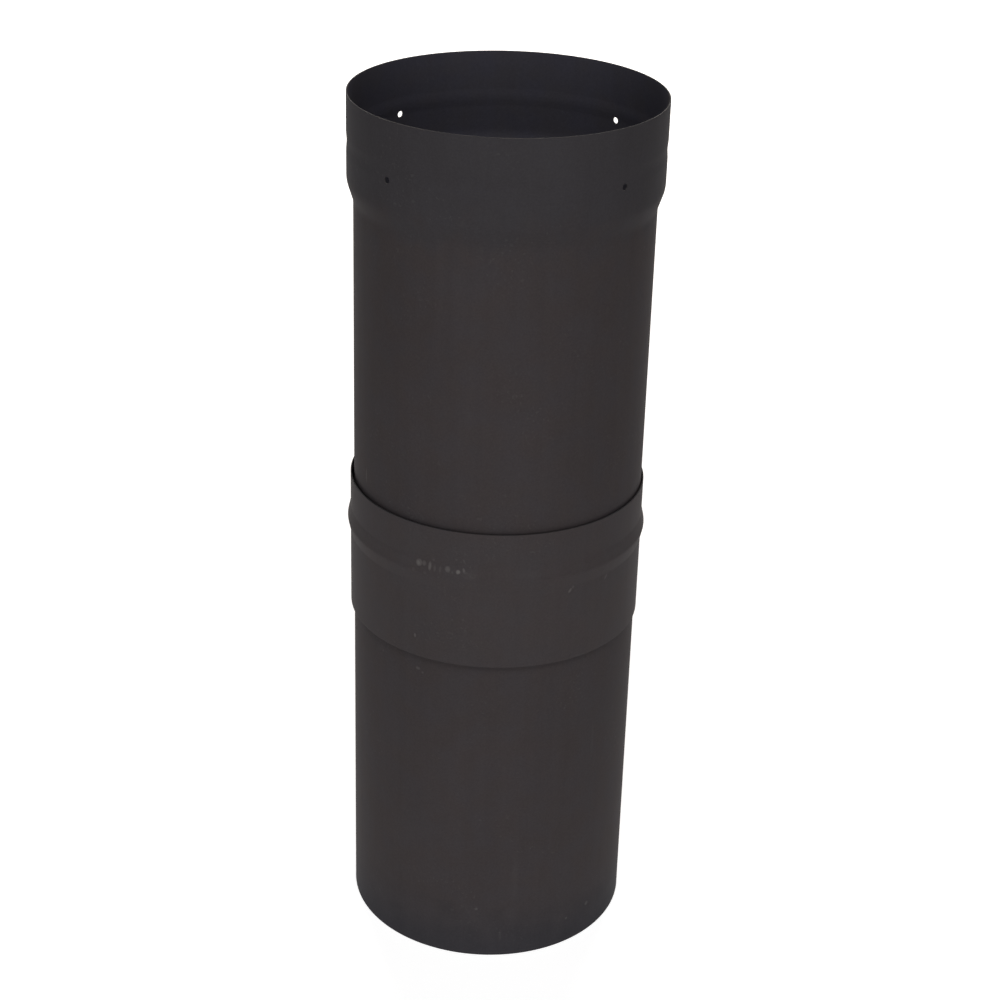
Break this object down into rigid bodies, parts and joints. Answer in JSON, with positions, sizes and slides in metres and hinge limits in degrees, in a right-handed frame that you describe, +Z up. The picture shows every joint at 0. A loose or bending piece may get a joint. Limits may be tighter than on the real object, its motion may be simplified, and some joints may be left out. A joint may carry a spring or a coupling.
{
  "type": "single-wall stove pipe",
  "caption": "Straight single-wall stove pipe with a formed bell at its top, pierced for screws, and a loose beaded slip collar that slides along the tube.",
  "frame": {"origin": "on the pipe's axis, at its plain lower end, which is the face it stands on", "axes": "+Z up the pipe's axis towards the bell's rim; the picture looks along +Y, with +X to its right; the screw holes lie on the diagonals between X and Y"},
  "size_m": [0.156, 0.1562, 0.4572],
  "materials": {
    "pipe_paint": "matte heat-proof black paint on rolled steel sheet",
    "collar_paint": "matte heat-proof black paint on rolled steel sheet, scuffed at the bead"
  },
  "bodies": {
    "pipe": {"slip_pipe": "pipe_paint"},
    "collar": {"slip_collar": "collar_paint"}
  },
  "joints": [
    {"name": "collar_slide", "type": "slide", "parent": "pipe", "child": "collar", "axis": [0, 0, 1], "range_m": [-0.1815, 0.143]}
  ]
}
